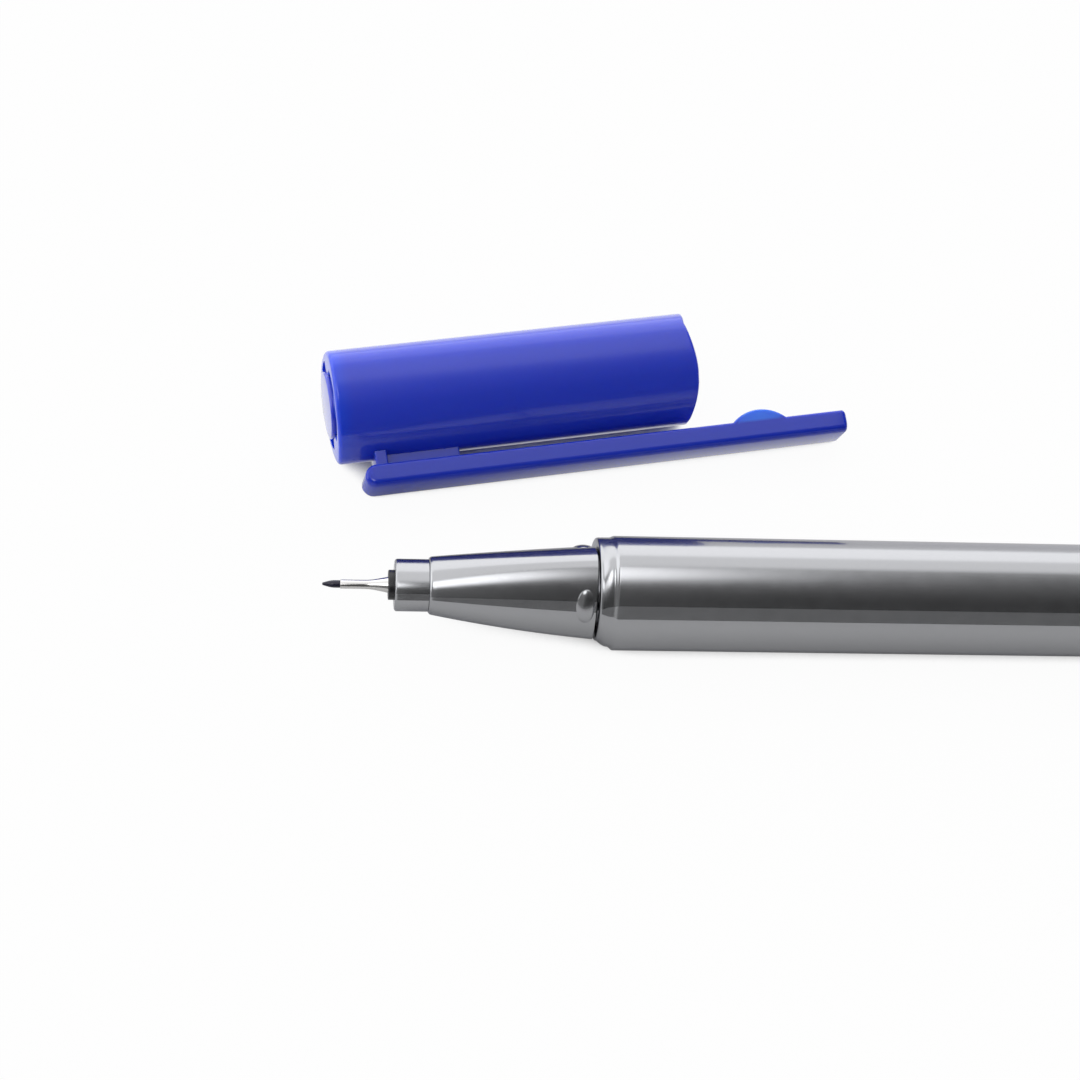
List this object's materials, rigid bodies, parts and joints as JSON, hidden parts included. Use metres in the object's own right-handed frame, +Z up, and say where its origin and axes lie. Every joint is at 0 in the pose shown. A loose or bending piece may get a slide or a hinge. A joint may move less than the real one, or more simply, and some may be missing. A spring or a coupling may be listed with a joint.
{
  "type": "fineliner pen",
  "caption": "Fineliner pen with a triangular silver barrel, a steel-sleeved fibre nib and a blue clip cap that lies beside it.",
  "frame": {"origin": "middle of the flat side of the barrel that the pen rests on", "axes": "+X along the pen from the nib to the end plug, +Y towards the cap that lies beside the pen, +Z up"},
  "size_m": [0.1506, 0.0326, 0.0097],
  "materials": {
    "silver_plastic": "silver-pigmented plastic, satin gloss",
    "blue_plastic": "dyed plastic, gloss, slightly translucent",
    "black_plastic": "matte",
    "steel": "polished",
    "nib_fibre": "ink-soaked fibre",
    "ink_core": "ink-soaked fibre",
    "clear_film": "clear film"
  },
  "bodies": {
    "pen": {"barrel": "silver_plastic", "front_section": "silver_plastic", "nib_holder": "black_plastic", "nib_ferrule": "steel", "nib_fibre": "nib_fibre", "ink_core": "ink_core", "ink_film": "clear_film", "end_plug": "blue_plastic"},
    "cap": {"cap_shell": "blue_plastic", "cap_inner_seal": "blue_plastic"},
    "clip": {"clip_arm": "blue_plastic"}
  },
  "joints": [
    {"name": "cap_pull", "type": "slide", "parent": "pen", "child": "cap", "axis": [-0.9857, -0.1685, 0], "range_m": [0, 0.03]},
    {"name": "clip_flex", "type": "hinge", "parent": "cap", "child": "clip", "pos_m": [-0.07327, 0.01227, 0.00174], "axis": [-0.0582, 0.3404, -0.9385], "range_deg": [0, 4.5], "stiffness_Nm_per_rad": 0.42}
  ]
}
